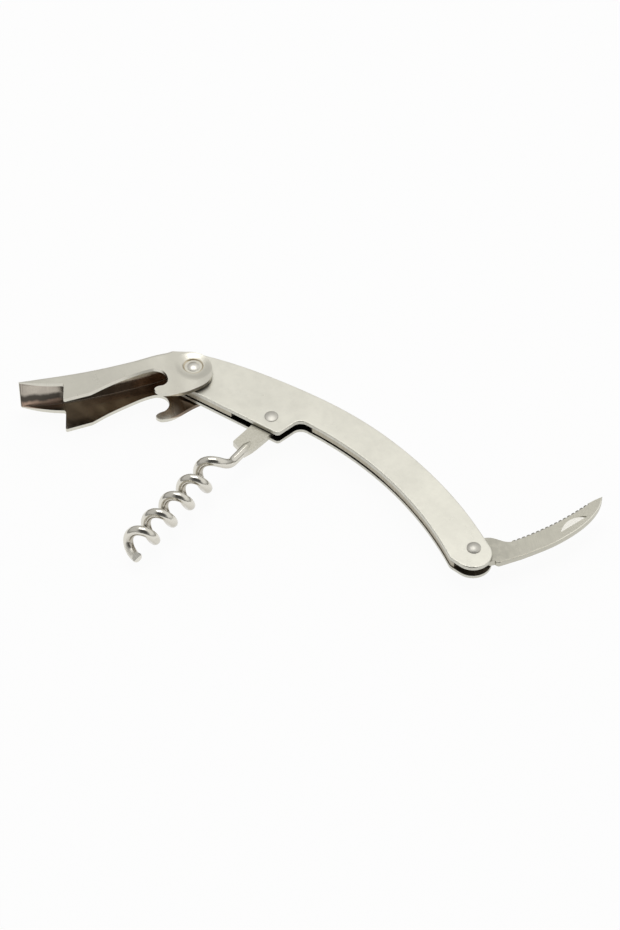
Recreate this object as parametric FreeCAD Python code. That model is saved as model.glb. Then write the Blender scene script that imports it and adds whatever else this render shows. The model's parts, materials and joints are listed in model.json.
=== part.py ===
import FreeCAD, Part
import math
import os

# A waiter's corkscrew: two curved handle cheeks riveted over a flat spring plate, with a bottle
# lever at the front, a wire worm in the middle and a serrated foil knife at the tail.
# Lengths are in millimetres and angles in degrees. While the pieces are made, the lever pivot is
# the origin, +X runs to the knife pivot, +Y to the handle's back and +Z along the rivets.

# Rivet centres
pivot_span = 105.0
worm_pivot_x = 29.5
worm_pivot_y = 0.9

# Handle sheets and the space between them
cheek_sheet = 1.2
cheek_gap = 2.4
cheek_edge_round = 0.3

# Handle outline: a round nose at the lever, a curved back, a round tail and a small heel at the
# knife, a hollow underside and a step down to the straight edge below the worm
nose_radius = 6.9
nose_drop = 0.2
back_lift_worm = 14.3
back_lift_mid = 16.8
back_mid_x = 48.0
back_quarter_inset = 31.0
back_quarter_lift = 14.7
back_tail_inset = 7.7
back_tail_lift = 8.1
tail_radius = 5.45
tail_inset = 0.85
tail_drop = 1.55
heel_radius = 3.0
heel_inset = 2.1
hollow_radius = 108.5
step_from_worm = 5.8
step_lean = 1.1
step_foot_drop = 3.8
step_head_lift = 4.55
step_head_radius = 3.0
step_foot_radius = 1.2

# Rivets
rivet_radius = 1.5
rivet_clearance = 0.04
rivet_head_radius = 2.0
worm_head_height = 0.5
knife_head_height = 0.8
knife_head_edge = 0.2
lever_head_radius = 1.8
lever_head_height = 0.65

# Spring plate between the cheeks. It is thinner than the space and has a slight set, so that its
# front lies on the upper cheek and its rear on the lower one.
plate_thickness = 1.9
plate_set_start = 64.0
plate_set_end = 78.0
plate_inset = 0.25
plate_nose_radius = 5.8
plate_band = 4.4
plate_arch_gap = 6.3
plate_tail_gap = 0.5
plate_tail_foot = 0.5
plate_tail_low_angle = 257.0
plate_tail_high_angle = 205.0
plate_front_end = 10.5

# Lever: a sheet channel, wide at the bottle step and narrow at the ears. In its own frame x runs
# along it from the pivot, y goes from its web to its mouth, and z is the rivet's way.
lever_sheet = 1.2
lever_rest_angle = 228.4
lever_length = 51.1
lever_inner_bend = 0.25
ear_gap = 0.6
ear_top_lift = 5.95
ear_back_reach = 5.35
flare_start = 1.5
flare_end = 10.0
channel_half_width = 6.15
tip_taper = 0.8
tip_taper_start = 38.0
splay_at_step = 0.09
splay_run = 10.0
web_crest = 0.2
web_crest_at = 45.0
web_curl = 7.84
web_power = 1.79
web_start = 8.5
web_rise = 6.2
step_tooth_at = 38.4
step_tooth_depth = 10.95
step_tooth_length = 7.5
knee_depth = 9.25
underside_power = 1.35
tip_rim_depth = 3.9
tip_rim_swell = 0.35
tip_end_rim = 1.15
notch_at = 11.8
notch_lift = 1.5
notch_width = 3.8
notch_mouth = 6.9
hook_depth = 11.7
web_slot_clearance = 0.5
web_slot_end = 8.5
dimple_radius = 3.0
dimple_floor_radius = 2.6
dimple_depth = 0.35

# Worm: one forged piece, a flat tang that becomes a coiled wire with a ground point
wire_diameter = 2.85
coil_radius = 3.1
coil_pitch = 8.0
coil_turns = 4.9
worm_rest_angle = -85.6
tang_thickness = 1.7
tang_half_width = 3.25
tang_foot_half = 3.95
tang_corner = 0.3
tang_length = 13.3
tang_end_fall = 0.95
tang_shoulder = 1.9
neck_straight = 5.1
neck_ramp = 9.0
neck_offset = 0.2
neck_blend = 2.4
point_bevel_angle = 38.0

# Foil knife. In its own frame x runs along it from the pivot and y across it, spine down.
blade_thickness = 1.9
blade_rest_angle = 70.0
blade_length = 42.3
blade_depth = 8.37
spine_round = 0.25
boss_radius = 4.7
heel_along = 3.4
tooth_start = 11.3
tooth_rise = 0.3
gullet_count = 17
gullet_pitch = 1.515
gullet_start = 12.56
gullet_radius = 0.4
gullet_depth = 0.32
nick_length = 9.8
nick_sagitta = 1.9
nick_depth = 0.5
nick_middle_along = 29.7
nick_line_across = -5.3
nick_turn = 8.0

cheek_face = cheek_gap / 2 + cheek_sheet
ear_inner = cheek_face + ear_gap
ear_outer = ear_inner + lever_sheet
lever_bend = lever_inner_bend + lever_sheet
ramp_end = tang_length + neck_straight + neck_ramp
coil_end = ramp_end + coil_turns * coil_pitch - neck_ramp / 2
up =FreeCAD.Vector(0, 0, 1)


def at(x, y, z=0.0):
    return FreeCAD.Vector(x, y, z)


def polar(centre, radius, angle):
    turn = math.radians(angle)
    return at(centre.x + radius * math.cos(turn), centre.y + radius * math.sin(turn), centre.z)


def ease(value, low, high):
    """0 below low, 1 above high and a smooth rise between them."""
    part = min(1.0, max(0.0, (value - low) / (high - low)))
    return part * part * (3 - 2 * part)


def line(a, b):
    return Part.makeLine(a, b)


def arc(a, middle, b):
    return Part.Arc(a, middle, b).toShape()


def spline(points, first=None, last=None):
    curve = Part.BSplineCurve()
    if first is None:
        curve.interpolate(points)
    else:
        curve.interpolate(Points=points, InitialTangent=first, FinalTangent=last)
    return curve.toShape()


def arc_about(a, centre, b):
    """The shorter arc from a to b about the centre."""
    middle = (a + b) * 0.5 - centre
    return arc(a, centre + middle.normalize() * (a - centre).Length, b)


def circles_meet(first, first_radius, second, second_radius, side):
    """One of the two points at the given distances from two centres."""
    way = second - first
    gap = way.Length
    along = (gap * gap + first_radius ** 2 - second_radius ** 2) / (2 * gap)
    across = math.sqrt(first_radius ** 2 - along ** 2) * side
    way.normalize()
    return first + way * along + at(-way.y, way.x) * across


def prism(edges, low, high):
    face = Part.Face(Part.Wire(Part.__sortEdges__(edges)))
    face.translate(at(0, 0, low))
    return face.extrude(at(0, 0, high - low))


def tangent_from(point, centre, radius, side):
    """Where a straight line from the point touches the circle."""
    way = centre - point
    reach = math.degrees(math.atan2(way.y, way.x))
    lean = math.degrees(math.asin(radius / way.Length))
    run = math.sqrt(way.Length ** 2 - radius ** 2)
    return polar(point, run, reach + side * lean)


lever_pivot = at(0, 0)
worm_pivot = at(worm_pivot_x, worm_pivot_y)
knife_pivot = at(pivot_span, 0)
nose_centre = at(0, -nose_drop)
tail_centre = at(pivot_span + tail_inset, -tail_drop)
tail_foot = tail_centre - at(0, tail_radius)
heel_centre = at(pivot_span - heel_inset, tail_foot.y + heel_radius)
heel_foot = heel_centre - at(0, heel_radius)

step_x = worm_pivot_x + step_from_worm
step_foot = at(step_x, worm_pivot_y - step_foot_drop)
step_head = at(step_x + step_lean, worm_pivot_y + step_head_lift)
hollow_centre = circles_meet(heel_centre, hollow_radius + heel_radius, step_head, hollow_radius, 1)
hollow_way = (hollow_centre - heel_centre).normalize()
hollow_end = heel_centre + hollow_way * heel_radius
nose_top = polar(nose_centre, nose_radius, 113.0)
nose_foot = tangent_from(step_foot, nose_centre, nose_radius, 1)
tail_top = polar(tail_centre, tail_radius, 66.0)


def cheek_edges():
    """The outline that both cheeks share, with its step corners still sharp."""
    back = [nose_top,
            at(worm_pivot_x - 5.0, back_lift_worm - 0.4),
            at(back_mid_x, back_lift_mid),
            at(pivot_span - back_quarter_inset, back_quarter_lift),
            at(pivot_span - back_tail_inset, back_tail_lift),
            tail_top]
    start_way = polar(at(0, 0), 1.0, 23.0)
    end_way = polar(at(0, 0), 1.0, -24.0)
    return [
        arc(nose_foot, polar(nose_centre, nose_radius, 200.0), nose_top),
        spline(back, start_way, end_way),
        arc(tail_top, polar(tail_centre, tail_radius, -12.0), tail_foot),
        line(tail_foot, heel_foot),
        arc_about(heel_foot, heel_centre, hollow_end),
        arc_about(hollow_end, hollow_centre, step_head),
        line(step_head, step_foot),
        line(step_foot, nose_foot),
    ]


def upright_edges_at(shape, place):
    """The edges along Z that stand on the given place."""
    found = []
    for edge in shape.Edges:
        box = edge.BoundBox
        if box.ZLength > 0.1 and abs(box.XMin - place.x) + abs(box.YMin - place.y) < 0.01:
            found.append(edge)
    return found


def cheek(side):
    """One handle sheet. The side is 1 for the upper one and -1 for the lower one."""
    low = cheek_gap / 2
    sheet = prism(cheek_edges(), low, cheek_face)
    sheet = sheet.makeFillet(step_head_radius, upright_edges_at(sheet, step_head))
    sheet = sheet.makeFillet(step_foot_radius, upright_edges_at(sheet, step_foot))
    outer = []
    for edge in sheet.Edges:
        if edge.BoundBox.ZMin > cheek_face - 0.01:
            outer.append(edge)
    sheet = sheet.makeFillet(cheek_edge_round, outer)
    for pivot in (lever_pivot, worm_pivot, knife_pivot):
        hole = Part.makeCylinder(rivet_radius + rivet_clearance, 4 * cheek_face, pivot - up * 2 * cheek_face)
        sheet = sheet.cut(hole)
    if side < 0:
        sheet = sheet.mirror(at(0, 0), up)
    return sheet


def plate_ribbon():
    """The space that the spring plate's thickness takes, with its set from one cheek to the other."""
    half = cheek_gap / 2
    slack = cheek_gap - plate_thickness
    before = -2 * nose_radius
    beyond = pivot_span + 2 * tail_radius
    deep = 2 * back_lift_mid
    corners = [at(before, -deep, half), at(plate_set_start, -deep, half),
               at(plate_set_end, -deep, half - slack), at(beyond, -deep, half - slack),
               at(beyond, -deep, -half), at(plate_set_end, -deep, -half),
               at(plate_set_start, -deep, slack - half), at(before, -deep, slack - half)]
    side = Part.Face(Part.makePolygon(corners + corners[:1]))
    return side.extrude(at(0, 2 * deep, 0))


def spring_plate():
    """The stamped plate that spaces the cheeks, arches over the worm's tang and presses on the knife."""
    band_radius = hollow_radius + plate_inset
    heel_reach = heel_radius - plate_inset
    boss_reach = boss_radius + plate_tail_gap
    nose_low = nose_foot + at(0, plate_inset)
    nose_high = polar(lever_pivot, plate_nose_radius, 100.0)
    foot_way = (step_foot - nose_foot).normalize()
    front_end = nose_low + foot_way * (worm_pivot_x - plate_front_end - nose_low.x)
    band_start = polar(hollow_centre, band_radius, 95.0)
    heel_start = heel_centre + hollow_way * heel_reach
    heel_low = heel_centre - at(0, heel_reach)
    tail_low = heel_low + at(plate_tail_foot, 0)
    tail_middle = polar(knife_pivot, boss_reach, plate_tail_low_angle)
    tail_high = polar(knife_pivot, boss_reach, plate_tail_high_angle)
    crown = polar(hollow_centre, band_radius + plate_band, 91.5)
    haunch = polar(hollow_centre, band_radius + plate_band * 0.9, 78.0)
    shoulder = at(worm_pivot_x - 8.0, back_lift_worm - 5.2)
    edges = [
        arc(nose_low, polar(nose_centre, nose_radius - plate_inset, 190.0), nose_high),
        spline([nose_high, shoulder, crown, haunch, tail_high]),
        arc_about(tail_high, knife_pivot, tail_middle),
        line(tail_middle, tail_low),
        line(tail_low, heel_low),
        arc_about(heel_low, heel_centre, heel_start),
        arc_about(heel_start, hollow_centre, band_start),
        arc(band_start, polar(worm_pivot, plate_arch_gap, 105.0), front_end),
        line(front_end, nose_low),
    ]
    plate = prism(edges, -cheek_gap, cheek_gap).common(plate_ribbon())
    hole = Part.makeCylinder(rivet_radius + rivet_clearance, 2 * cheek_gap, lever_pivot - up * cheek_gap)
    return plate.cut(hole)


def head_profile(base, radius, height, edge):
    """Half of a rivet head on a face at the height base, as points up the outside and an arc over it."""
    rim = at(radius, 0, base + edge)
    crown = at(0, 0, base + height)
    rise = height - edge
    ball = (radius * radius + rise * rise) / (2 * rise)
    half = math.asin(radius / ball) / 2
    middle = at(ball * math.sin(half), 0, crown.z - ball + ball * math.cos(half))
    return rim, middle, crown


def rivet(pivot, face, radius, height, edge):
    """A rivet with a round head on each outer face."""
    rim, middle, crown = head_profile(face, radius, height, edge)
    under = at(radius, 0, face)
    neck = at(rivet_radius, 0, face)
    upper = [
        line(at(0, 0, 0), at(rivet_radius, 0, 0)),
        line(at(rivet_radius, 0, 0), neck),
        line(neck, under),
        line(under, rim),
        arc(rim, middle, crown),
        line(crown, at(0, 0, 0)),
    ]
    half = Part.Face(Part.Wire(upper)).revolve(at(0, 0), up, 360)
    whole = half.fuse(half.mirror(at(0, 0), up)).removeSplitter()
    whole.translate(pivot)
    return whole


def web_height(along):
    """Where the web's top lies. It curls up towards the ears, where the slot ends it."""
    height = web_crest - web_curl * abs(1 - along / web_crest_at) ** web_power
    if along < web_start:
        height -= web_rise * (1 - along / web_start) ** 2
    return max(height, -ear_top_lift - 2 * lever_bend)


def flange_half(along):
    """Half the lever's width at its web."""
    flare = (channel_half_width - ear_outer) * ease(along, flare_start, flare_end)
    past = max(0.0, along - tip_taper_start) / (lever_length - tip_taper_start)
    return ear_outer + flare - tip_taper * past ** 2


def lever_section(along, inset):
    """A closed section of the channel, with its web up and its mouth down, inset by the sheet."""
    deep = 3 * step_tooth_depth
    bend = lever_bend - inset
    top = web_height(along) + inset
    top_z = flange_half(along) - inset
    splay = splay_at_step * ease(along, flare_end, flare_end + splay_run)
    low_z = top_z + splay * (deep - top)
    turn = math.radians(45)
    points = []
    for side in (1, -1):
        middle_z = side * (top_z - bend + bend * math.cos(turn))
        points.append([at(along, deep, side * low_z), at(along, top + bend, side * top_z),
                       at(along, top + bend - bend * math.sin(turn), middle_z),
                       at(along, top, side * (top_z - bend))])
    a, b = points
    edges = [
        line(a[0], a[1]),
        arc(a[1], a[2], a[3]),
        line(a[3], b[3]),
        arc(b[3], b[2], b[1]),
        line(b[1], b[0]),
        line(b[0], a[0]),
    ]
    return Part.Wire(edges)


def lever_side():
    """The lever seen from the side: its back, tip, bottle step, cap hook and ears."""
    beyond = -3 * ear_top_lift
    tip_rim = at(lever_length, tip_end_rim)
    root = at(step_tooth_at - 0.2, tip_rim_depth)
    rim_middle = (tip_rim + root) * 0.5 + at(0, tip_rim_swell)
    tooth = at(step_tooth_at + 0.4, step_tooth_depth)
    knee = at(step_tooth_at - step_tooth_length, knee_depth)
    notch_top = at(notch_at, notch_lift)
    notch_back = at(notch_at - notch_width, notch_lift + notch_mouth * 0.55)
    notch_foot = at(notch_at - notch_width * 0.55, notch_lift + notch_mouth)
    hook_tip = at(notch_at + 0.5, hook_depth - 1.9)
    chin = at(notch_at - 2.5, hook_depth)
    underside = [knee]
    for part in (0.84, 0.53, 0.22):
        rise = part ** underside_power * (knee.y - notch_top.y)
        underside.append(at(notch_top.x + part * (knee.x - notch_top.x), notch_top.y + rise))
    underside.append(notch_top)
    ear_back = at(-ear_back_reach, 1.6)
    ear_top = at(1.5, -ear_top_lift)
    web_edge = at(web_start, web_height(web_start))
    jaw = [chin, at(5.4, hook_depth * 0.95), at(0.7, hook_depth * 0.785), at(-1.5, hook_depth * 0.7),
           at(-0.68 * ear_back_reach, hook_depth * 0.575), at(-0.92 * ear_back_reach, hook_depth * 0.385),
           ear_back]
    return [
        line(at(lever_length, beyond), tip_rim - at(0, 0.8)),
        arc(tip_rim - at(0, 0.8), tip_rim - at(0.25, 0.2), tip_rim - at(0.8, 0)),
        arc(tip_rim - at(0.8, 0), rim_middle, root + at(0.9, 0)),
        arc(root + at(0.9, 0), root + at(0.25, 0.25), root + at(0, 0.9)),
        line(root + at(0, 0.9), tooth - at(0.05, 0.8)),
        arc(tooth - at(0.05, 0.8), tooth - at(0.2, 0.2), tooth - at(0.8, 0.15)),
        line(tooth - at(0.8, 0.15), knee),
        spline(underside, at(-1.0, -0.45), at(-1.0, -0.12)),
        arc(notch_top, at(notch_at - notch_width * 0.71, notch_lift + notch_mouth * 0.17), notch_back),
        arc(notch_back, at(notch_at - notch_width * 0.89, notch_lift + notch_mouth * 0.84), notch_foot),
        spline([notch_foot, at(notch_at - 0.5, notch_foot.y + 0.4), hook_tip,
                at(notch_at - 0.3, hook_depth - 0.65), chin], at(1.0, 0.2), at(-1.0, 0.1)),
        spline(jaw, at(-1.0, -0.05), at(-0.1, -1.0)),
        arc(ear_back, at(-0.65 * ear_back_reach, -0.65 * ear_top_lift), ear_top),
        arc(ear_top, at(web_start * 0.6, -ear_top_lift), web_edge),
        line(web_edge, at(web_edge.x, beyond)),
        line(at(web_edge.x, beyond), at(lever_length, beyond)),
    ]


def lever():
    """The bottle lever: one bent sheet, cut to its side outline, with dimples round the rivet."""
    before = -2.25 * ear_back_reach
    flare_step = (flare_end - flare_start) / 4
    channel_step = (lever_length + 1.0 - flare_end) / 8
    stops = [before, 0.67 * before, 0.33 * before]
    for step in range(4):
        stops.append(flare_start + step * flare_step)
    for step in range(9):
        stops.append(flare_end + step * channel_step)
    outer = [lever_section(along, 0.0) for along in stops]
    stops[0] -= lever_sheet
    stops[-1] += lever_sheet
    inner = [lever_section(along, lever_sheet) for along in stops]
    side_view = prism(lever_side(), -2 * channel_half_width, 2 * channel_half_width)
    shape = Part.makeLoft(outer, True).common(side_view).cut(Part.makeLoft(inner, True))
    half_slot = cheek_face + web_slot_clearance
    slot_deep = 2 * ear_top_lift
    slot_run = web_slot_end - half_slot - before
    slot = Part.makeBox(slot_run, slot_deep, 2 * half_slot, at(before, -slot_deep, -half_slot))
    slot_end = Part.makeCylinder(half_slot, slot_deep, at(web_slot_end - half_slot, -slot_deep), at(0, 1, 0))
    shape = shape.cut(slot).cut(slot_end)
    shape = shape.cut(Part.makeCylinder(rivet_radius + rivet_clearance, 40.0, at(0, 0, -20.0)))
    for side in (1, -1):
        floor = up * side * (ear_outer - dimple_depth)
        slope = (dimple_radius - dimple_floor_radius) / dimple_depth
        mouth = dimple_floor_radius + slope * (dimple_depth + 1.0)
        dimple = Part.makeCone(dimple_floor_radius, mouth, dimple_depth + 1.0, floor, up * side)
        shape = shape.cut(dimple)
    shape.rotate(at(0, 0), up, lever_rest_angle)
    return shape


def coil_point(y):
    """The wire's centre line at the distance y below the pivot, and its direction there."""
    ramp = y - (tang_length + neck_straight)
    full = 2 * math.pi / coil_pitch
    if ramp <= 0:
        turn, rate = 0.0, 0.0
    elif ramp < neck_ramp:
        turn, rate = full * ramp * ramp / (2 * neck_ramp), full * ramp / neck_ramp
    else:
        turn, rate = full * (ramp - neck_ramp / 2), full
    centre = neck_offset - coil_radius
    place = at(centre + coil_radius * math.cos(turn), -y, coil_radius * math.sin(turn))
    way = at(-coil_radius * rate * math.sin(turn), -1, coil_radius * rate * math.cos(turn))
    return place, way.normalize()


def coil_gap():
    """The least space from the wire to itself, between points half a turn or more apart along it."""
    steps_in_turn = 24
    half_turn = math.hypot(math.pi * coil_radius, coil_pitch / 2)
    step = coil_pitch / steps_in_turn
    places = []
    reaches = []
    for index in range(int((coil_end - tang_length) / step) + 1):
        place = coil_point(tang_length + index * step)[0]
        reaches.append(reaches[-1] + (place - places[-1]).Length if places else 0.0)
        places.append(place)
    gaps = []
    for first, place in enumerate(places):
        for second in range(first + 1, len(places)):
            if reaches[second] - reaches[first] >= half_turn:
                gaps.append((places[second] - place).Length - wire_diameter)
    return min(gaps)


def bend_to(a, way, b):
    """The arc that leaves a in the given direction and ends at b."""
    chord = b - a
    along = chord.normalize() * way.dot(chord.normalize())
    aside = way - along
    length = (b - a).Length
    if aside.Length < 1e-6:
        return line(a, b)
    angle = math.atan2(aside.Length, way.dot((b - a).normalize()))
    middle = (a + b) * 0.5 + aside.normalize() * (length / 2 * math.tan(angle / 2))
    return arc(a, middle, b)


def biarc(a, way_a, b, way_b):
    """Two arcs that join smoothly and keep both end directions."""
    chord = b - a
    both = way_a + way_b
    twist = 2 * (1 - way_a.dot(way_b))
    lean = chord.dot(both)
    if twist < 1e-9:
        reach = chord.dot(chord) / (2 * lean)
    else:
        reach = (-lean + math.sqrt(lean * lean + twist * chord.dot(chord))) / twist
    joint = (a + b + (way_a - way_b) * reach) * 0.5
    meet = (b - way_b * reach - a - way_a * reach).normalize()
    return [bend_to(a, way_a, joint), bend_to(joint, meet, b)]


def worm():
    """The tang, its blend into round wire, and the right-handed coil with its ground point."""
    start = tang_length - 1.0
    stops = [start, tang_length + neck_straight]
    for step in range(1, 7):
        stops.append(tang_length + neck_straight + neck_ramp * math.sqrt(step / 6.0))
    quarters = int(math.ceil((coil_end - ramp_end) / (coil_pitch / 4)))
    for step in range(1, quarters + 1):
        stops.append(ramp_end + (coil_end - ramp_end) * step / quarters)
    edges = []
    for low, high in zip(stops[:-1], stops[1:]):
        a, way_a = coil_point(low)
        b, way_b = coil_point(high)
        if way_a.getAngle(way_b) < 1e-6:
            edges.append(line(a, b))
        else:
            edges.extend(biarc(a, way_a, b, way_b))
    path = Part.Wire(edges)
    first, way = coil_point(start)
    ring = Part.Wire(Part.Circle(first, way, wire_diameter / 2).toShape())
    shell = Part.BRepOffsetAPI.MakePipeShell(path)
    shell.add(ring)
    shell.build()
    shell.makeSolid()
    wire = shell.shape()

    end, end_way = coil_point(coil_end)
    inward = (at(neck_offset - coil_radius, end.y, 0) - end).normalize()
    slant = math.radians(point_bevel_angle)
    face_way = (end_way * math.sin(slant) - inward * math.cos(slant)).normalize()
    grind = Part.makeBox(20, 20, 20, at(-10, -10, 0))
    grind.Placement = FreeCAD.Placement(end - inward * wire_diameter * 0.05,
                                        FreeCAD.Rotation(up, face_way))
    wire = wire.cut(grind)

    half = tang_half_width
    foot = at(-tang_foot_half, -tang_length)
    neck_left = at(neck_offset - wire_diameter * 0.44, -(tang_length + tang_end_fall))
    neck_right = at(neck_offset + wire_diameter * 0.48, -(tang_length + tang_shoulder))
    corner_top = foot + at(0, tang_corner)
    corner_low = foot + (neck_left - foot).normalize() * tang_corner
    right = [at(half, 0), at(half * 0.91, -tang_length * 0.49), at(half * 0.8, -tang_length * 0.775),
             at(half * 0.65, -tang_length), neck_right]
    tang_edges = [
        arc(at(half, 0), at(0, half), at(-half, 0)),
        line(at(-half, 0), corner_top),
        arc(corner_top, foot + at(0.28, 0.16) * tang_corner, corner_low),
        line(corner_low, neck_left),
        line(neck_left, neck_right),
        spline(right, at(0, -1), at(-0.2, -1)),
    ]
    tang = prism(tang_edges, -tang_thickness / 2, tang_thickness / 2)
    blend = Part.makeCone(tang_thickness / 2 * 0.9, wire_diameter / 2, neck_blend,
                          first + at(0, neck_blend, 0), at(0, -1, 0))
    shape = tang.fuse([blend, wire])
    shape = shape.cut(Part.makeCylinder(rivet_radius + rivet_clearance, 10.0, at(0, 0, -5.0)))
    shape.rotate(at(0, 0), up, worm_rest_angle + 90.0)
    shape.translate(worm_pivot)
    return shape


def blade_place(along, across):
    """A place on the blade, given as shares of its length and its depth."""
    return at(along * blade_length, -across * blade_depth)


def edge_curve():
    """The serrated edge's curve, from its first tooth to the tip."""
    points = [at(tooth_start, -0.233 * blade_depth), blade_place(0.425, 0.28), blade_place(0.59, 0.268),
              blade_place(0.78, 0.167), blade_place(0.93, 0.066), blade_place(1.0, 0.06)]
    curve = Part.BSplineCurve()
    curve.interpolate(Points=points, InitialTangent=at(1.0, -0.12), FinalTangent=at(1.0, 0.05))
    return curve


def knife_blade():
    """The foil knife: a curved blade with a boss at its pivot, gullets and a nail nick."""
    half = blade_thickness / 2
    curve = edge_curve()
    first_tooth = curve.value(curve.FirstParameter)
    tip = curve.value(curve.LastParameter)
    before = first_tooth - at(tooth_rise / 2, tooth_rise)
    boss_top = polar(at(0, 0), boss_radius, 52.0)
    boss_low = polar(at(0, 0), boss_radius, -100.0)
    heel = at(heel_along, -0.7 * blade_depth)
    spine_end = at(heel_along + 1.1, -0.85 * blade_depth)
    spine = [tip, blade_place(0.95, 0.33), blade_place(0.88, 0.567), blade_place(0.773, 0.789),
             blade_place(0.62, 0.948), blade_place(0.433, 1.0), blade_place(0.26, 0.951), spine_end]
    edges = [
        arc(boss_low, polar(at(0, 0), boss_radius, 160.0), boss_top),
        spline([boss_top, blade_place(0.16, -0.22), blade_place(0.222, 0.14), before],
               at(1.0, -0.6), at(1.0, -0.35)),
        line(before, first_tooth),
        curve.toShape(),
        spline(spine, at(-0.6, -0.8), at(-1.0, 0.13)),
        arc(spine_end, heel + at(0.25, -0.75), heel),
        line(heel, boss_low),
    ]
    blade = prism(edges, -half, half)
    spine_edges = []
    for edge in blade.Edges:
        box = edge.BoundBox
        if box.ZLength < 0.01 and box.XLength > blade_length / 2 and box.YMin < -0.9 * blade_depth:
            spine_edges.append(edge)
    blade = blade.makeFillet(spine_round, spine_edges)
    cutters = []
    for gullet in range(gullet_count):
        along = gullet_start + gullet * gullet_pitch
        place = curve.value(curve.parameter(at(along, first_tooth.y)))
        centre = at(along, place.y + gullet_radius - gullet_depth)
        cutters.append(Part.makeCylinder(gullet_radius, 4 * half, centre - up * 2 * half))
    blade = blade.cut(cutters)

    chord = nick_length / 2
    bow = (chord * chord + nick_sagitta * nick_sagitta) / (2 * nick_sagitta)
    lune_edges = [line(at(-chord, 0), at(chord, 0)), arc(at(chord, 0), at(0, nick_sagitta), at(-chord, 0))]
    lune = prism(lune_edges, half - 2 * nick_depth, half + 1.0)
    floor = Part.makeBox(6 * bow, 2 * nick_sagitta, 6.0, at(-3 * bow, -2 * nick_sagitta, 0))
    floor.rotate(at(0, 0), at(1, 0, 0), math.degrees(math.atan(nick_depth / nick_sagitta)))
    floor.translate(at(0, nick_sagitta, half))
    nick = lune.common(floor)
    nick.rotate(at(0, 0), up, nick_turn)
    nick.translate(at(nick_middle_along, nick_line_across))
    blade = blade.cut(nick)
    blade = blade.cut(Part.makeCylinder(rivet_radius + rivet_clearance, 4 * half, at(0, 0, -2 * half)))
    blade.rotate(at(0, 0), up, blade_rest_angle)
    blade.translate(knife_pivot)
    return blade


pieces = {
    "upper_cheek": cheek(1),
    "lower_cheek": cheek(-1),
    "spring_plate": spring_plate(),
    "lever": lever(),
    "lever_rivet": rivet(lever_pivot, ear_outer - dimple_depth, lever_head_radius, lever_head_height, 0.15),
    "worm": worm(),
    "worm_rivet": rivet(worm_pivot, cheek_face, rivet_head_radius, worm_head_height, 0.1),
    "knife_blade": knife_blade(),
    "knife_rivet": rivet(knife_pivot, cheek_face, rivet_head_radius, knife_head_height, knife_head_edge),
}

# The origin moves to the middle of the box, at the height of the surface that the part lies on.
whole = Part.makeCompound(list(pieces.values())).optimalBoundingBox(False, False)
shift = at(-(whole.XMin + whole.XMax) / 2, -(whole.YMin + whole.YMax) / 2, -whole.ZMin)

os.makedirs("parts", exist_ok=True)
for name, shape in pieces.items():
    shape.translate(shift)
    shape.exportStep("parts/" + name + ".step")
    print(name, "solids", len(shape.Solids), "valid", shape.isValid(), "volume", round(shape.Volume, 1))

for name, pivot in (("lever", lever_pivot), ("worm", worm_pivot), ("knife", knife_pivot)):
    place = pivot + shift
    print(name, "pivot in metres", round(place.x / 1000, 6), round(place.y / 1000, 6), round(place.z / 1000, 6))
print("least gap of the coil to itself", round(coil_gap(), 2))
print("box", round(whole.XLength, 2), round(whole.YLength, 2), round(whole.ZLength, 2))
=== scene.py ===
import json
import math

import bpy
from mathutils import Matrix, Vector

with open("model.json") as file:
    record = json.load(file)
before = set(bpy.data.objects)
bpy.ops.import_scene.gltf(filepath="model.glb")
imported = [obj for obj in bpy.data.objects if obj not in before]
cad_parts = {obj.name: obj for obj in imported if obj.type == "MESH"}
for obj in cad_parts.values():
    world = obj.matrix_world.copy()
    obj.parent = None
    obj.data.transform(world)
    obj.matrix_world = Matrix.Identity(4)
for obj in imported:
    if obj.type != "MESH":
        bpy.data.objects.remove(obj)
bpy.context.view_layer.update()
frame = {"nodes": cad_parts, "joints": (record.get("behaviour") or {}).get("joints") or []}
nodes = frame["nodes"]
pivots = {joint["name"]: Vector(joint["pos_m"]) for joint in frame["joints"]}
lever_pivot = pivots["lever_swing"]


# Handle cheeks
# Two sheets of stainless steel, blanked to one outline and tumbled to a soft satin. They are
# riveted over the spring plate, and the upper one is the broad pale face of the tool.

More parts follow.
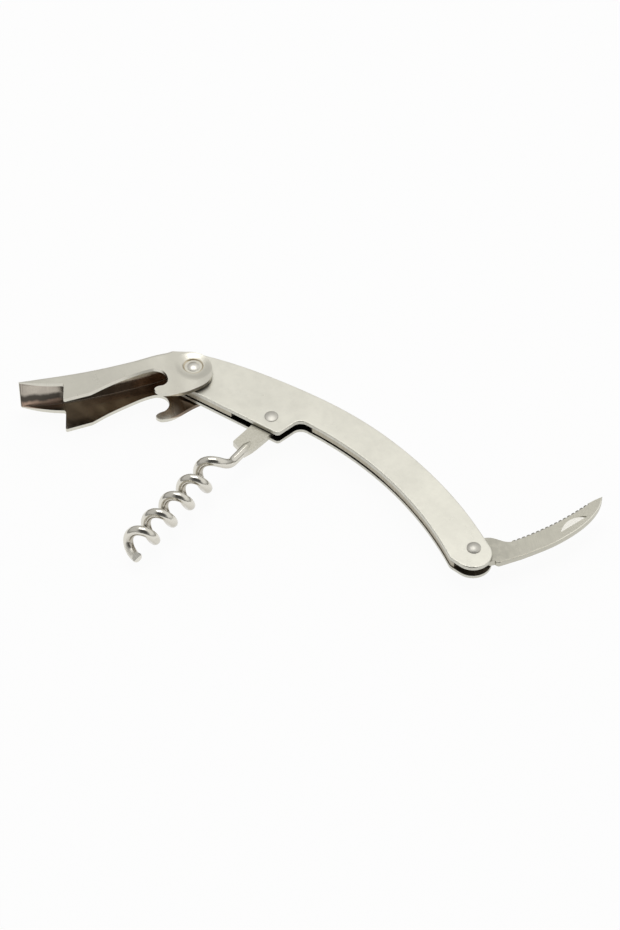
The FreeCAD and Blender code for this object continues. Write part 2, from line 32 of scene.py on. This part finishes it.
class Wire:
    """A socket in a material. Sums with it add Math nodes, and node() adds any other node."""

    def __init__(self, tree, socket=None):
        self.tree = tree
        self.socket = socket

    def node(self, kind, settings=None, sockets=None, out=0):
        made = self.tree.nodes.new(kind)
        for name, value in (settings or {}).items():
            setattr(made, name, value)
        for key, value in (sockets or {}).items():
            if isinstance(value, Wire):
                self.tree.links.new(value.socket, made.inputs[key])
            else:
                made.inputs[key].default_value = value
        return Wire(self.tree, made.outputs[out] if made.outputs else None)

    def maths(self, operation, a, b=0.0):
        return self.node("ShaderNodeMath", {"operation": operation}, {0: a, 1: b})

    def vectors(self, operation, a, b, out=0):
        return self.node("ShaderNodeVectorMath", {"operation": operation}, {0: a, 1: b}, out)

    def __add__(self, other):
        return self.maths("ADD", self, other)

    def __radd__(self, other):
        return self.maths("ADD", other, self)

    def __sub__(self, other):
        if isinstance(other, Vector):
            return self.vectors("SUBTRACT", self, other)
        return self.maths("SUBTRACT", self, other)

    def __rsub__(self, other):
        return self.maths("SUBTRACT", other, self)

    def __mul__(self, other):
        return self.maths("MULTIPLY", self, other)

    def __rmul__(self, other):
        return self.maths("MULTIPLY", other, self)

    def __abs__(self):
        return self.maths("ABSOLUTE", self)

    def larger(self, other):
        return self.maths("MAXIMUM", self, other)

    def along(self, way):
        """How far this vector reaches along a direction."""
        return self.vectors("DOT_PRODUCT", self, way, out=1)

    def away(self, centre):
        """How far this place is from a centre."""
        return self.vectors("DISTANCE", self, centre, out=1)

    def scaled(self, factors):
        return self.vectors("MULTIPLY", self, factors)

    def turned(self, degrees):
        """This place, turned about the rivets' direction."""
        settings = {"rotation_type": "Z_AXIS"}
        sockets = {"Vector": self, "Angle": math.radians(degrees)}
        return self.node("ShaderNodeVectorRotate", settings, sockets)

    def smooth(self, low, high):
        """0 below low, 1 above high, and a smooth step between them."""
        settings = {"interpolation_type": "SMOOTHSTEP"}
        sockets = {"Value": self, "From Min": low, "From Max": high}
        return self.node("ShaderNodeMapRange", settings, sockets)

    def between(self, rise, fall):
        """1 inside a stretch and 0 outside it, with a smooth step at each end."""
        return self.smooth(*rise) * (1 - self.smooth(*fall))

    def noise(self, size, detail=2.0, roughness=0.5):
        """Cloudy values from 0 to 1, with clouds of the given size in mm, or one size for each axis."""
        sizes = size if isinstance(size, tuple) else (size, size, size)
        sockets = {"Vector": self.scaled([1000.0 / part for part in sizes]), "Scale": 1.0,
                   "Detail": detail, "Roughness": roughness}
        return self.node("ShaderNodeTexNoise", {"noise_dimensions": "3D"}, sockets)

    def mixed(self, colour_a, colour_b):
        """Colour a where this value is 0, and colour b where it is 1."""
        settings = {"data_type": "RGBA"}
        sockets = {"Factor": self, 6: colour_a, 7: colour_b}
        return self.node("ShaderNodeMix", settings, sockets, out=2)


def paint(name):
    """A new empty material and a wire to build it with."""
    material = bpy.data.materials.new(name)
    material.use_nodes = True
    material.node_tree.nodes.clear()
    return material, Wire(material.node_tree)


def finish(wire, shader):
    wire.node("ShaderNodeOutputMaterial", None, {"Surface": shader})


def dress(piece, material):
    piece.data.materials.clear()
    piece.data.materials.append(material)
    for face in piece.data.polygons:
        face.material_index = 0


def shade(tint, share):
    """A tint made lighter or darker, with its alpha."""
    return [min(1.0, part * share) for part in tint] + [1.0]


def scratched(place, angle, width, length):
    """Thin stray lines in one direction, sparse and broken: 1 on a line and 0 off it."""
    turned = place.turned(angle)
    line = 1 - abs(turned.noise((length, width, length), 1.0) - 0.5).smooth(0.0, 0.012)
    return line * turned.noise(length * 0.4).smooth(0.52, 0.66)


def metal_surface(wire, tint, roughness, mottle, grain, grain_depth, scratches):
    """The common look of worked stainless steel: its place, colour, roughness and relief."""
    place = wire.node("ShaderNodeTexCoord", None, None, out=3)
    normal = wire.node("ShaderNodeTexCoord", None, None, out=1)
    broad = place.noise(broad_cloud, 3.0, 0.6)
    patchy = place.noise(small_cloud, 2.0, 0.6)
    fine = place.noise(grain, 2.0, 0.6)
    tone = (broad - 0.5) * 1.2 + (patchy - 0.5) * 0.8
    colour = tone.smooth(-0.45, 0.45).mixed(shade(tint, 1.0 - mottle), shade(tint, 1.0 + mottle))
    lines = scratched(place, 24.0, 0.35, 14.0).larger(scratched(place, -61.0, 0.3, 9.0))
    rough = roughness + tone * 0.09 + (fine - 0.5) * 0.08 - lines * 0.08 * scratches
    relief = fine * grain_depth - lines * scratch_depth * scratches
    return place, normal, colour, rough, relief


def metal_shader(wire, colour, rough, relief):
    """Steel from its colour, its roughness and its relief in mm."""
    bump = wire.node("ShaderNodeBump", None, {"Strength": 1.0, "Distance": 0.001, "Height": relief})
    return wire.node("ShaderNodeBsdfPrincipled", None,
                     {"Base Color": colour, "Metallic": 1.0, "Roughness": rough, "Normal": bump})


def sheared(place, normal):
    """1 on a sheet's blanked edge, and the upright streaks that the die left there."""
    wall = 1 - abs(normal.along(up)).smooth(*edge_lean)
    return wall, place.noise((0.16, 0.16, 4.0), 2.0, 0.6)


def sheet_steel(name, tint, roughness, mottle):
    """Blanked sheet: satin faces, streaked edges, and a brighter line where they meet, worn and painted
    as a highlight.
    """
    material, wire = paint(name)
    surface = metal_surface(wire, tint, roughness, mottle, satin_grain, satin_depth, 1.0)
    place, normal, colour, rough, relief = surface
    wall, streaks = sheared(place, normal)
    # The rounded line between face and edge is worn, and is also painted lighter as a highlight.
    worn_highlight = abs(normal.along(up)).between((0.3, 0.6), (0.88, 0.99))
    colour = (wall * (0.35 + streaks.smooth(0.35, 0.7) * 0.5)).mixed(colour, shade(tint, 0.66))
    colour = (worn_highlight * 0.6).mixed(colour, shade(tint, 1.15))
    rough = rough + wall * 0.06 - worn_highlight * 0.08
    relief = relief + wall * streaks * streak_depth
    return material, wire, place, normal, colour, rough, relief


def facing_in(wire, place, normal):
    """1 on faces that look at the middle plane between the cheeks."""
    side = wire.maths("SIGN", (place - middle_plane).along(up))
    return (normal.along(up) * side * -1.0).smooth(0.12, 0.4)


up = Vector((0, 0, 1))
middle_plane = Vector((0, 0, lever_pivot.z))
edge_lean = (0.12, 0.5)

# Sizes in mm of the satin's clouds, grain and relief
broad_cloud = 11.0
small_cloud = 1.7
satin_grain = 0.22
satin_depth = 0.0035
scratch_depth = 0.003
streak_depth = 0.012

cheek_tint = (0.74, 0.725, 0.645)
# Painted shade for the faces between the cheeks and for the lever's inside folds
inside_shade_dark = (0.13, 0.11, 0.085, 1.0)
inside_shade_light = (0.22, 0.19, 0.15, 1.0)
hollow_shade_dark = (0.05, 0.043, 0.034, 1.0)
hollow_end = (-0.01, 0.02)

cheek_steel, wire, place, normal, colour, rough, relief = sheet_steel(
    "cheek_steel", cheek_tint, 0.36, 0.045)
# Painted shade on the faces between the cheeks, in dark browns, darkest where x is low, by the worm.
inside = facing_in(wire, place, normal)
inside_shading = place.noise(5.0, 2.0, 0.6).smooth(0.3, 0.7).mixed(inside_shade_dark, inside_shade_light)
inside_shading = place.along((1, 0, 0)).smooth(*hollow_end).mixed(hollow_shade_dark, inside_shading)
finish(wire, metal_shader(wire, inside.mixed(colour, inside_shading), rough + inside * 0.1, relief))
dress(nodes["upper_cheek"], cheek_steel)
dress(nodes["lower_cheek"], cheek_steel)


# Spring plate
# A stamped plate of harder, browner steel that lies between the cheeks and is held by the lever's
# rivet. Only its edges show: a strip beside the worm's tang and a band along the hollow.

spring_tint = (0.60, 0.555, 0.45)

spring_steel, wire, place, normal, colour, rough, relief = sheet_steel(
    "spring_steel", spring_tint, 0.42, 0.06)
finish(wire, metal_shader(wire, colour, rough, relief))
dress(nodes["spring_plate"], spring_steel)


# Bottle lever
# One sheet folded to a channel, with a bottle step, a cap hook and two ears. Its outside is satin
# like the cheeks. Its inside is painted with brown shade, darkest in the folds, with painted
# reflections in the trough by the tip and a painted highlight and shadow at the lower hook.

lever_angle = math.radians(228.4)
lever_along = Vector((math.cos(lever_angle), math.sin(lever_angle), 0))
lever_across = Vector((-math.sin(lever_angle), math.cos(lever_angle), 0))
lever_tint = (0.70, 0.68, 0.60)

# The round dimple of the rivet and the shallow dish about it, whose depth is in mm
dimple_edge = 0.0028
dish_edge = 0.0058
dish_depth = 0.48
ring_reflection_gold = (0.62, 0.5, 0.3, 1.0)
ring_width = (0.0001, 0.00035)
ear_rim = (0.0046, 0.0056)
ear_end = (-0.003, 0.001)

# The painted shade and painted reflections inside, as pairs of colours from their darkest to their
# lightest clouds
rear_shade = ((0.29, 0.215, 0.16, 1.0), (0.40, 0.31, 0.235, 1.0))
front_shade = ((0.39, 0.35, 0.30, 1.0), (0.50, 0.455, 0.39, 1.0))
pale_patch_colours = ((0.55, 0.49, 0.37, 1.0), (0.85, 0.80, 0.66, 1.0))
trough_reflection = ((0.08, 0.07, 0.058, 1.0), (0.42, 0.30, 0.23, 1.0))
hook_shadow_brown = (0.13, 0.105, 0.085, 1.0)
hook_highlight_colour = (0.95, 0.92, 0.83, 1.0)

# Where the painted shade changes along the channel, and over its height from the middle plane
web_edge = (0.0048, 0.005)
rear_to_front = (0.012, 0.04)
trough_start = (0.0375, 0.0400)
trough_top = (-0.0008, 0.0008)
reflection_band_foot = (-0.0036, -0.0020)
pale_patch_foot = (-0.0016, -0.0004)
pale_patch_end = (0.026, 0.034)

# The inside of the lower hook's tip, and the reach of the painted highlight and painted shadow about it
hook_tip_inside = lever_pivot + lever_along * 0.0108 + lever_across * 0.0099 - up * 0.005
hook_highlight_reach = (0.0026, 0.0062)
shadow_start = (0.0035, 0.0052)
shadow_end = (0.008, 0.011)
shadow_foot = (0.0035, 0.006)
lower_half = (-0.001, 0.001)
bend_lean = (0.9, 0.98)


def channel_shading(place, normal, from_pivot, web_inside):
    """The painted shade, reflections and highlight inside the lever, and how much rougher than the rest
    they are.
    """
    along = from_pivot.along(lever_along)
    height = from_pivot.along(up)
    cloudy = place.noise((9.0, 2.5, 9.0), 3.0, 0.6).smooth(0.3, 0.75)
    # Painted shade inside the channel: brown clouds, darker towards the rear.
    to_front = (along + cloudy * 0.004).smooth(*rear_to_front)
    inside_shading = to_front.mixed(cloudy.mixed(*rear_shade), cloudy.mixed(*front_shade))
    wavy_height = height - (cloudy - 0.5) * 0.0008
    # Painted reflection in the trough near the tip: a dark band, and a reddish brown band below it.
    trough = web_inside * along.smooth(*trough_start) * (1 - wavy_height.smooth(*trough_top))
    inside_shading = trough.mixed(inside_shading, (1 - wavy_height.smooth(*reflection_band_foot)).mixed(*trough_reflection))
    # Painted light: a paler, rougher patch on the web's upper half, short of the trough.
    pale_patch = web_inside * (1 - trough) * height.smooth(*pale_patch_foot) * (1 - along.smooth(*pale_patch_end))
    inside_shading = pale_patch.mixed(inside_shading, cloudy.mixed(*pale_patch_colours))
    reach = place.away(hook_tip_inside)
    # Painted shadow on the lower flange's inside, behind the hook's tip.
    shadow = reach.between(shadow_start, shadow_end) * (1 - height.smooth(*lower_half))
    shadow = shadow * from_pivot.along(lever_across).smooth(*shadow_foot)
    inside_shading = (shadow * 0.3).mixed(inside_shading, hook_shadow_brown)
    # Painted highlight at the lower hook's tip, off the web.
    hook_highlight = 1 - (reach + (cloudy - 0.5) * 0.001).smooth(*hook_highlight_reach)
    inside_shading = (hook_highlight * (1 - web_inside)).mixed(inside_shading, hook_highlight_colour)
    # Painted shade in the folds between the web and the flanges.
    off_web = 1 - abs(normal.along(lever_across)).smooth(*bend_lean)
    off_flange = 1 - abs(normal.along(up)).smooth(*bend_lean)
    fold_shade = off_web * off_flange
    inside_shading = (fold_shade * 0.6).mixed(inside_shading, inside_shade_dark)
    return inside_shading, pale_patch * 0.4 + trough * 0.25 + fold_shade * 0.3


def lever_steel():
    material, wire = paint("lever_steel")
    surface = metal_surface(wire, lever_tint, 0.34, 0.03, satin_grain, satin_depth, 1.0)
    place, normal, colour, rough, relief = surface
    from_pivot = place - lever_pivot
    beside_web = abs(from_pivot.along(up)).smooth(*web_edge)
    web_inside = normal.along(lever_across).smooth(0.45, 0.7) * (1 - beside_web)
    inside = facing_in(wire, place, normal).larger(web_inside)
    wall, streaks = sheared(place, normal)
    wall = wall * (1 - inside)
    colour = (wall * streaks.smooth(0.35, 0.7) * 0.3).mixed(colour, shade(lever_tint, 0.75))
    relief = relief + wall * streaks * streak_depth
    inside_shading, inside_shading_rough = channel_shading(place, normal, from_pivot, web_inside)
    # The inside of the channel takes its painted shade, painted reflections and painted highlight.
    colour = inside.mixed(colour, inside_shading)
    rough = rough - inside * 0.14 + inside * inside_shading_rough
    reach = from_pivot.scaled((1, 1, 0)).away((0, 0, 0))
    # A thin golden ring at the dimple's edge, painted as its reflection.
    ring = 1 - abs(reach - dimple_edge).smooth(*ring_width)
    colour = (ring * 0.5).mixed(colour, ring_reflection_gold)
    relief = relief + reach.smooth(dimple_edge, dish_edge) * dish_depth
    # Painted shade along the ear's outer rim, away from the channel.
    rim_shade = reach.smooth(*ear_rim) * (1 - from_pivot.along(lever_along).smooth(*ear_end))
    colour = (rim_shade * 0.3).mixed(colour, shade(lever_tint, 0.6))
    finish(wire, metal_shader(wire, colour, rough, relief))
    return material


dress(nodes["lever"], lever_steel())


# Worm
# Forged flat at the tang and coiled from round wire, in one piece, with a ground point. The coil
# is polished bright and the tang is left satin, with the fine pits of the forging.

def bright_steel(name, tint, roughness, grain):
    """Polished steel, with soft waves left by the wheel."""
    material, wire = paint(name)
    surface = metal_surface(wire, tint, roughness, 0.02, grain, polished_depth, 0.25)
    place, normal, colour, rough, relief = surface
    relief = relief + place.noise(wheel_wave, 1.0) * wheel_depth
    return material, wire, place, normal, colour, rough, relief


# Sizes in mm of what the polish leaves
polished_depth = 0.0006
wheel_wave = 2.4
wheel_depth = 0.006
pit_size = 0.5
pit_depth = 0.01

worm_pivot = pivots["worm_fold"]
worm_angle = math.radians(-85.6)
worm_along = Vector((math.cos(worm_angle), math.sin(worm_angle), 0))
worm_across = Vector((-math.sin(worm_angle), math.cos(worm_angle), 0))
coil_centre = worm_pivot - worm_across * 0.0029
coil_start = (0.018, 0.022)
point_start = (0.0602, 0.0614)
tang_end = (0.0125, 0.015)
inward_lean = (-0.003, 0.0005)

worm_tint = (0.73, 0.705, 0.635)
coil_inner_shade = (0.30, 0.265, 0.21, 1.0)
underside_shade_grey = (0.42, 0.39, 0.325, 1.0)
ground_point_painted_light = (0.86, 0.84, 0.77, 1.0)
tang_tints = ((0.54, 0.52, 0.44, 1.0), (0.64, 0.62, 0.54, 1.0))


def worm_steel():
    material, wire, place, normal, colour, rough, relief = bright_steel(
        "worm_steel", worm_tint, 0.15, 0.3)
    from_centre = place - coil_centre
    along = from_centre.along(worm_along)
    outward = from_centre.along(normal) - along * normal.along(worm_along)
    # Painted shade on the coil's inner side, which faces its axis.
    inner = (1 - outward.smooth(*inward_lean)) * along.smooth(*coil_start)
    colour = (inner * 0.8).mixed(colour, coil_inner_shade)
    # Painted shade on the faces that look down.
    under = 1 - normal.along(up).smooth(-0.8, 0.45)
    colour = (under * 0.75).mixed(colour, underside_shade_grey)
    # The ground point is rougher from grinding, and is painted lighter to stand in for its highlights.
    point = along.smooth(*point_start)
    colour = (point * 0.8).mixed(colour, ground_point_painted_light)
    tang = 1 - place.away(worm_pivot).smooth(*tang_end)
    pitted = place.noise(pit_size, 2.0, 0.7)
    colour = tang.mixed(colour, pitted.smooth(0.25, 0.75).mixed(*tang_tints))
    rough = rough + inner * 0.1 + point * 0.38 + tang * 0.16
    relief = relief + tang * pitted * pit_depth
    finish(wire, metal_shader(wire, colour, rough, relief))
    return material


dress(nodes["worm"], worm_steel())


# Foil knife
# A blanked blade with a serrated edge, a rounded spine and a nail nick milled into its face, in a
# finer and greyer satin. It turns on its own rivet at the tail of the handle.

knife_pivot = pivots["knife_fold"]
knife_angle = math.radians(70.0)
knife_along = Vector((math.cos(knife_angle), math.sin(knife_angle), 0))
knife_across = Vector((-math.sin(knife_angle), math.cos(knife_angle), 0))
knife_tint = (0.48, 0.465, 0.40)
tooth_shade_grey = (0.15, 0.145, 0.13, 1.0)
nick_highlight_colour = (0.93, 0.91, 0.85, 1.0)
brush_turn = 18.0
brush_depth = 0.004

# Places in mm from the knife's pivot. The toothed edge is a shallow curve.
edge_drop = 0.2
edge_fall = 0.2193
edge_curl = 0.00552
tooth_root = (-0.45, -0.25)
first_tooth = (11.6, 11.9)
last_tooth = (37.3, 37.6)
clear_of_teeth = (-2.0, -1.5)
nick_start = (22.0, 23.0)
heel_end = (4.0, 16.0)
tip_start = (12.0, 40.0)


def knife_steel():
    material, wire, place, normal, colour, rough, relief = sheet_steel(
        "knife_steel", knife_tint, 0.33, 0.05)
    from_pivot = place - knife_pivot
    along = from_pivot.along(knife_along) * 1000.0
    brushed = place.turned(brush_turn - math.degrees(knife_angle)).noise((0.25, 3.5, 3.5), 2.0, 0.6)
    colour = (brushed.smooth(0.35, 0.75) * 0.5).mixed(colour, shade(knife_tint, 0.86))
    heel = (1 - along.smooth(*heel_end)) * place.noise(2.2, 3.0, 0.65).smooth(0.35, 0.6)
    colour = (heel * 0.6).mixed(colour, shade(knife_tint, 0.72))
    # Painted light: the blade grows lighter towards its tip.
    colour = (along.smooth(*tip_start) * 0.5).mixed(colour, shade(knife_tint, 1.2))
    edge_line = along * along * edge_curl - along * edge_fall - edge_drop
    past_edge = from_pivot.along(knife_across) * 1000.0 - edge_line
    teeth = past_edge.smooth(*tooth_root) * along.between(first_tooth, last_tooth)
    # Painted shade along the toothed edge, where the gullets are shaded.
    colour = (teeth * 0.9).mixed(colour, tooth_shade_grey)
    lean = abs(normal.along(up))
    wall = 1 - lean.smooth(*edge_lean)
    # Painted light on the blade's side faces, which are made lighter.
    colour = (wall * (1 - teeth) * 0.7).mixed(colour, shade(knife_tint, 1.3))
    # Painted highlight along the rounded spine.
    spine = lean.between((0.4, 0.6), (0.88, 0.95)) * (1 - past_edge.smooth(*clear_of_teeth))
    colour = spine.mixed(colour, shade(knife_tint, 2.0))
    # Painted highlight on the sloping floor of the nail nick.
    nick = lean.between((0.9, 0.95), (0.975, 0.99)) * along.smooth(*nick_start)
    colour = nick.mixed(colour, nick_highlight_colour)
    rough = rough - nick * 0.1 - spine * 0.1
    relief = relief + brushed * brush_depth
    finish(wire, metal_shader(wire, colour, rough, relief))
    return material


dress(nodes["knife_blade"], knife_steel())


# Rivets
# Turned steel rivets with low heads, closed and polished by the setting tool. Shade is painted in the
# corner at a head's foot. The lever's rivet is the brightest of the three.

rivet_tint = (0.72, 0.70, 0.64)
foot_shade_dark = (0.10, 0.09, 0.075, 1.0)
dull_steel = (0.36, 0.35, 0.31, 1.0)
head_foot = (0.00242, 0.00262)
lever_rivet_reach = (0.006, 0.008)

rivet_steel, wire, place, normal, colour, rough, relief = bright_steel(
    "rivet_steel", rivet_tint, 0.34, 0.2)
from_middle = abs((place - middle_plane).along(up))
# Painted shade in the corner at each head's foot.
foot_shade = 1 - from_middle.smooth(*head_foot)
colour = (foot_shade * 0.85).mixed(colour, foot_shade_dark)
duller = place.away(lever_pivot).smooth(*lever_rivet_reach)
colour = (duller * 0.35).mixed(colour, dull_steel)
finish(wire, metal_shader(wire, colour, rough + duller * 0.1, relief))
for name in ("lever_rivet", "worm_rivet", "knife_rivet"):
    dress(nodes[name], rivet_steel)


# Stage
# A white table in a white tent, with a lamp panel overhead. The tent is open at the front, so
# steel that faces that way mirrors a darker room.

scene = bpy.context.scene
floor_half = 3.0
table_drop = 0.0001
corners = [(-floor_half, -floor_half, 0), (floor_half, -floor_half, 0),
           (floor_half, floor_half, 0), (-floor_half, floor_half, 0)]
floor_mesh = bpy.data.meshes.new("table")
floor_mesh.from_pydata(corners, [], [(0, 1, 2, 3)])
table = bpy.data.objects.new("table", floor_mesh)
table.location.z = -table_drop
scene.collection.objects.link(table)
material, wire = paint("table_white")
camera_ray = wire.node("ShaderNodeLightPath", None, None, out=0)
rays = camera_ray.socket.node.outputs
glossy_ray = Wire(wire.tree, rays["Is Glossy Ray"])
clear_ray = Wire(wire.tree, rays["Is Transmission Ray"])
seen = camera_ray.larger(glossy_ray).larger(clear_ray)
plain = wire.node("ShaderNodeBsdfDiffuse", None, {"Color": (0.9, 0.9, 0.89, 1.0)})
white = wire.node("ShaderNodeEmission", None, {"Color": (1.0, 1.0, 1.0, 1.0), "Strength": 1.0})
finish(wire, wire.node("ShaderNodeMixShader", None, {0: seen * 0.94, 1: plain, 2: white}))
dress(table, material)

# Directions in the tent: to the camera, to its right, and to the low gap at the front
camera_way = Vector((0.4359, -0.5077, 0.7431))
camera_right = Vector((0.7587, 0.6515, 0.0))
front_way = Vector((0.64, -0.75, 0.17))
tent_black = (0.0, 0.0, 0.0, 1.0)
tent_white = (1.0, 0.995, 0.98, 1.0)

world = bpy.data.worlds.new("tent")
scene.world = world
world.use_nodes = True
world.node_tree.nodes.clear()
wire = Wire(world.node_tree)
way = wire.node("ShaderNodeTexCoord", None, None, out=0)
opening = way.along(camera_way).smooth(0.72, 0.95) * 0.9
front = way.along(front_way).smooth(0.72, 0.95) * 0.8
low = 1 - way.along(up).smooth(0.02, 0.4)
lit_side = way.along(camera_right).smooth(-0.7, 0.7)
dark = opening.larger(front).larger(low * 0.55)
bright = (1 - dark) * (0.60 + lit_side * 0.27)
tone = bright.mixed(tent_black, tent_white)
background = wire.node("ShaderNodeBackground", None, {"Color": tone, "Strength": 1.0})
wire.node("ShaderNodeOutputWorld", None, {"Surface": background})

lamp = bpy.data.lights.new("top_panel", "AREA")
lamp.size = 0.75
lamp.energy = 3.4
panel = bpy.data.objects.new("top_panel", lamp)
panel.location = (-0.21, 0.18, 1.15)
panel.rotation_euler = (-panel.location).to_track_quat("-Z", "Y").to_euler()
scene.collection.objects.link(panel)


# Camera
# It stands about 48 degrees above the table and looks down at the tool from its hollow side. The
# long lens keeps the far end of the handle nearly as large as the near one.

target = lever_pivot + Vector((0.04883, -0.004516, 0.0))
distance = 0.9
focal_pixels = 3150.0
picture_width = 620.0
lens = bpy.data.cameras.new("camera")
lens.sensor_fit = "HORIZONTAL"
lens.sensor_width = 36.0
lens.lens = focal_pixels * lens.sensor_width / picture_width
lens.clip_start = 0.05
lens.clip_end = 20.0
camera = bpy.data.objects.new("camera", lens)
camera.location = target + camera_way * distance
camera.rotation_euler = (-camera_way).to_track_quat("-Z", "Y").to_euler()
scene.collection.objects.link(camera)
scene.camera = camera
scene.view_settings.view_transform = "Standard"
